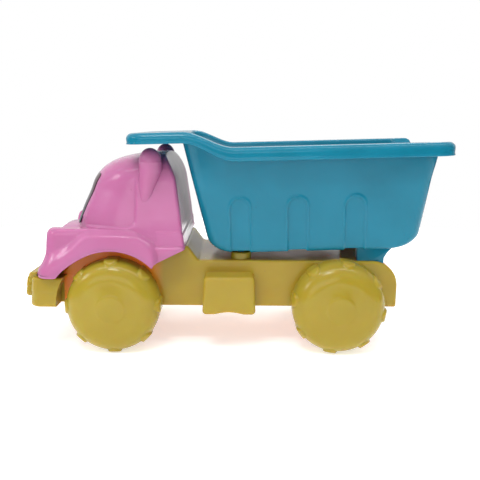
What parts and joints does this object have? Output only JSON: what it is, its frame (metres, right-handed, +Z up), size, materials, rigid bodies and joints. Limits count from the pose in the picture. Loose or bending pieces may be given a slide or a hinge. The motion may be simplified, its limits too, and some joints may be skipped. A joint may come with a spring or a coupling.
{
  "type": "toy dump truck",
  "caption": "Moulded plastic toy dump truck: cab and chassis shells, a hinged tipping bed with a guard over the cab, and free-rolling wheels on steel axles.",
  "frame": {"origin": "on the ground, under the middle of the truck's bounding box, wheels standing on z = 0", "axes": "+X is the way the truck drives, +Y its left side, +Z up"},
  "size_m": [0.2582, 0.111, 0.1345],
  "materials": {
    "yellow_plastic": "moulded, glossy, lightly scuffed",
    "pink_plastic": "moulded, high gloss",
    "blue_plastic": "moulded, glossy",
    "dark_film": "glossy printed film",
    "axle_steel": "drawn wire rod"
  },
  "bodies": {
    "truck": {"chassis": "yellow_plastic", "cab": "pink_plastic", "windscreen": "dark_film"},
    "bed": {"dump_bed": "blue_plastic"},
    "front_wheelset": {"front_axle": "axle_steel", "front_left_wheel": "yellow_plastic", "front_right_wheel": "yellow_plastic"},
    "rear_wheelset": {"rear_axle": "axle_steel", "rear_left_wheel": "yellow_plastic", "rear_right_wheel": "yellow_plastic"}
  },
  "joints": [
    {"name": "bed_tip", "type": "hinge", "parent": "truck", "child": "bed", "pos_m": [-0.0885, 0, 0.05], "axis": [0, -1, 0], "range_deg": [0, 60]},
    {"name": "front_wheels_spin", "type": "hinge", "parent": "truck", "child": "front_wheelset", "pos_m": [0.0741, 0, 0.0294], "axis": [0, 1, 0], "continuous": true},
    {"name": "rear_wheels_spin", "type": "hinge", "parent": "truck", "child": "rear_wheelset", "pos_m": [-0.0643, 0, 0.0294], "axis": [0, 1, 0], "continuous": true}
  ]
}
